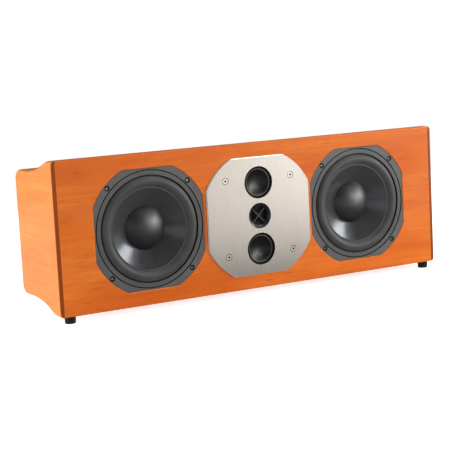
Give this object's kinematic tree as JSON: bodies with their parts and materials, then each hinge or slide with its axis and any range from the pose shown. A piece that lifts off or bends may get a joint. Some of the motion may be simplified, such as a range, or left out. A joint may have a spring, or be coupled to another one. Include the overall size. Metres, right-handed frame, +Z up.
{
  "type": "center channel speaker",
  "caption": "Wide wooden center channel loudspeaker with curved top and bottom, cone woofers beside a metal plate that carries dome midranges and a tweeter.",
  "frame": {"origin": "on the floor under the feet, below the middle of the whole part's width and depth", "axes": "+X to the right as seen from the front, +Y to the back, +Z up; the drivers face -Y"},
  "size_m": [0.797, 0.2036, 0.278],
  "materials": {
    "cabinet_wood": "lacquered veneer",
    "inner_wood": "raw board",
    "foot_rubber": "matte",
    "black_screw": "black oxide",
    "zinc_screw": "zinc plated",
    "basket_metal": "dark satin paint",
    "surround_rubber": "satin",
    "cone_plastic": "gloss",
    "cap_plastic": "satin",
    "spider_cloth": "impregnated cloth",
    "copper_coil": "enamelled wire",
    "steel_part": "zinc plated",
    "magnet_ferrite": "matte",
    "plate_aluminium": "brushed",
    "black_plastic": "matte",
    "dome_metal": "satin",
    "dome_cloth": "coated cloth",
    "gold_metal": "gold plated",
    "red_plastic": "gloss",
    "knob_black": "gloss",
    "capacitor_film": "gloss",
    "cable_sheath": "matte"
  },
  "bodies": {
    "cabinet": {"front_baffle": "cabinet_wood", "left_side_panel": "cabinet_wood", "right_side_panel": "cabinet_wood", "top_panel": "cabinet_wood", "bottom_panel": "cabinet_wood", "back_panel": "cabinet_wood", "left_brace": "inner_wood", "right_brace": "inner_wood", "front_left_foot": "foot_rubber", "front_right_foot": "foot_rubber", "rear_left_foot": "foot_rubber", "rear_right_foot": "foot_rubber", "wood_screws": "zinc_screw", "woofer_screws": "black_screw", "face_plate": "plate_aluminium", "face_plate_screws": "zinc_screw", "mid_magnets": "steel_part", "mid_yokes": "steel_part", "tweeter_frame": "black_plastic", "tweeter_guard": "black_plastic", "tweeter_surround": "surround_rubber", "tweeter_magnet": "steel_part", "tweeter_yoke": "steel_part", "terminal_plate": "black_plastic", "binding_posts": "gold_metal", "crossover_board": "inner_wood", "crossover_coils": "copper_coil", "crossover_capacitors": "capacitor_film", "internal_wiring": "cable_sheath", "left_woofer_basket": "basket_metal", "left_woofer_trim_ring": "basket_metal", "left_woofer_surround": "surround_rubber", "left_woofer_spider": "spider_cloth", "left_woofer_top_plate": "steel_part", "left_woofer_magnet": "magnet_ferrite", "left_woofer_yoke": "steel_part", "right_woofer_basket": "basket_metal", "right_woofer_trim_ring": "basket_metal", "right_woofer_surround": "surround_rubber", "right_woofer_spider": "spider_cloth", "right_woofer_top_plate": "steel_part", "right_woofer_magnet": "magnet_ferrite", "right_woofer_yoke": "steel_part", "upper_mid_frame": "black_plastic", "upper_mid_surround": "surround_rubber", "lower_mid_frame": "black_plastic", "lower_mid_surround": "surround_rubber"},
    "left_woofer_diaphragm": {"left_woofer_cone": "cone_plastic", "left_woofer_dust_cap": "cap_plastic", "left_woofer_voice_coil": "copper_coil"},
    "right_woofer_diaphragm": {"right_woofer_cone": "cone_plastic", "right_woofer_dust_cap": "cap_plastic", "right_woofer_voice_coil": "copper_coil"},
    "upper_mid_diaphragm": {"upper_mid_dome": "dome_metal"},
    "lower_mid_diaphragm": {"lower_mid_dome": "dome_metal"},
    "tweeter_diaphragm": {"tweeter_dome": "dome_cloth"},
    "red_washer": {"red_clamp_washer": "gold_metal"},
    "red_knob": {"red_post_knob": "red_plastic"},
    "black_washer": {"black_clamp_washer": "gold_metal"},
    "black_knob": {"black_post_knob": "knob_black"}
  },
  "joints": [
    {"name": "left_woofer_stroke", "type": "slide", "parent": "cabinet", "child": "left_woofer_diaphragm", "axis": [0, -1, 0], "range_m": [-0.005, 0.005], "stiffness_N_per_m": 1000, "deforming": ["left_woofer_surround", "left_woofer_spider"]},
    {"name": "right_woofer_stroke", "type": "slide", "parent": "cabinet", "child": "right_woofer_diaphragm", "axis": [0, -1, 0], "range_m": [-0.005, 0.005], "stiffness_N_per_m": 1000, "deforming": ["right_woofer_surround", "right_woofer_spider"]},
    {"name": "upper_mid_stroke", "type": "slide", "parent": "cabinet", "child": "upper_mid_diaphragm", "axis": [0, -1, 0], "range_m": [-0.001, 0.001], "stiffness_N_per_m": 200, "deforming": ["upper_mid_surround"]},
    {"name": "lower_mid_stroke", "type": "slide", "parent": "cabinet", "child": "lower_mid_diaphragm", "axis": [0, -1, 0], "range_m": [-0.001, 0.001], "stiffness_N_per_m": 200, "deforming": ["lower_mid_surround"]},
    {"name": "tweeter_stroke", "type": "slide", "parent": "cabinet", "child": "tweeter_diaphragm", "axis": [0, -1, 0], "range_m": [-0.0004, 0.0004], "stiffness_N_per_m": 40, "deforming": ["tweeter_surround"]},
    {"name": "red_clamp_lift", "type": "slide", "parent": "cabinet", "child": "red_washer", "axis": [0, 1, 0], "range_m": [0, 0.004]},
    {"name": "red_knob_turn", "type": "hinge", "parent": "red_washer", "child": "red_knob", "pos_m": [-0.0095, 0.08875, 0.1], "axis": [0, 1, 0], "range_deg": [0, 1440]},
    {"name": "black_clamp_lift", "type": "slide", "parent": "cabinet", "child": "black_washer", "axis": [0, 1, 0], "range_m": [0, 0.004]},
    {"name": "black_knob_turn", "type": "hinge", "parent": "black_washer", "child": "black_knob", "pos_m": [0.0095, 0.08875, 0.1], "axis": [0, 1, 0], "range_deg": [0, 1440]}
  ],
  "couplings": [
    {"joint": "red_knob_turn", "follows": "red_clamp_lift", "rad_per_m": 6283.2},
    {"joint": "black_knob_turn", "follows": "black_clamp_lift", "rad_per_m": 6283.2}
  ]
}
